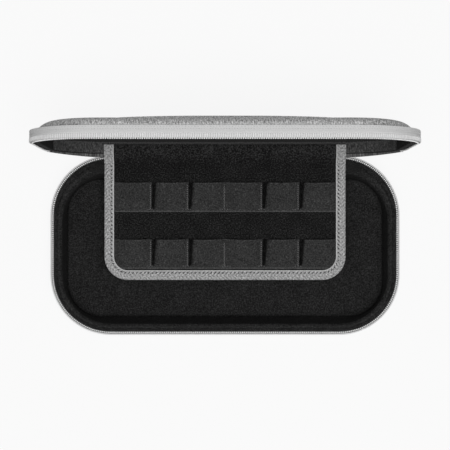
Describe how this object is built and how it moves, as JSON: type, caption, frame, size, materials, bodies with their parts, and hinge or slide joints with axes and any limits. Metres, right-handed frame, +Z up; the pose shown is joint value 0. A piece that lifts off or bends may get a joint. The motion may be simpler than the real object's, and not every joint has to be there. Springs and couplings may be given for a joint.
{
  "type": "game console carrying case",
  "caption": "Zipped carrying case for a handheld game console, with a moulded recess, a lid that hinges at the rear and a padded flap of card pockets.",
  "frame": {"origin": "middle of the tray's flat base, on the surface that the object stands on", "axes": "+X along the length, to the right as seen from the front; +Y to the rear, where the hinge is; +Z up"},
  "size_m": [0.296, 0.1729, 0.1779],
  "materials": {
    "heather": "grey melange woven cloth over moulded foam",
    "zip_tape": "pale grey woven zip tape",
    "zip_teeth": "pale grey nylon coil",
    "fleece": "black brushed fleece",
    "lid_lining": "smooth black lining over padding",
    "binding": "grey herringbone binding tape",
    "pocket_cloth": "black stretch cloth",
    "slider_metal": "dark satin coated metal"
  },
  "bodies": {
    "tray": {"tray_shell": "heather", "tray_insert": "fleece", "tray_zip_tape": "zip_tape", "tray_zip_teeth": "zip_teeth", "hinge_spine": "heather", "spine_lining": "lid_lining", "zip_tail_left": "zip_teeth", "zip_tail_right": "zip_teeth"},
    "lid": {"lid_shell": "heather", "lid_lining": "lid_lining", "lid_zip_tape": "zip_tape", "lid_zip_teeth": "zip_teeth", "flap_root": "fleece"},
    "flap": {"flap_panel": "fleece", "flap_binding": "binding", "upper_pocket_strip": "pocket_cloth", "lower_pocket_strip": "pocket_cloth"},
    "slider_left": {"slider_left": "slider_metal"},
    "slider_right": {"slider_right": "slider_metal"},
    "pull_left": {"pull_left": "slider_metal"},
    "pull_right": {"pull_right": "slider_metal"}
  },
  "joints": [
    {"name": "lid_hinge", "type": "hinge", "parent": "tray", "child": "lid", "pos_m": [0, 0.076, 0.026], "axis": [-1, 0, 0], "range_deg": [-91, 24], "deforming": ["hinge_spine", "flap_root"]},
    {"name": "flap_hinge", "type": "hinge", "parent": "tray", "child": "flap", "pos_m": [0, 0.0686, 0.0282], "axis": [-1, 0, 0], "range_deg": [0, 90]},
    {"name": "slider_left_run", "type": "slide", "parent": "tray", "child": "slider_left", "axis": [-1, 0, 0], "range_m": [0, 0.012]},
    {"name": "slider_right_run", "type": "slide", "parent": "tray", "child": "slider_right", "axis": [1, 0, 0], "range_m": [0, 0.012]},
    {"name": "pull_left_swing", "type": "hinge", "parent": "slider_left", "child": "pull_left", "pos_m": [-0.077, 0.0803, 0.01975], "axis": [0, 0, 1], "range_deg": [0, 180]},
    {"name": "pull_right_swing", "type": "hinge", "parent": "slider_right", "child": "pull_right", "pos_m": [0.077, 0.0803, 0.01975], "axis": [0, 0, -1], "range_deg": [0, 180]}
  ]
}
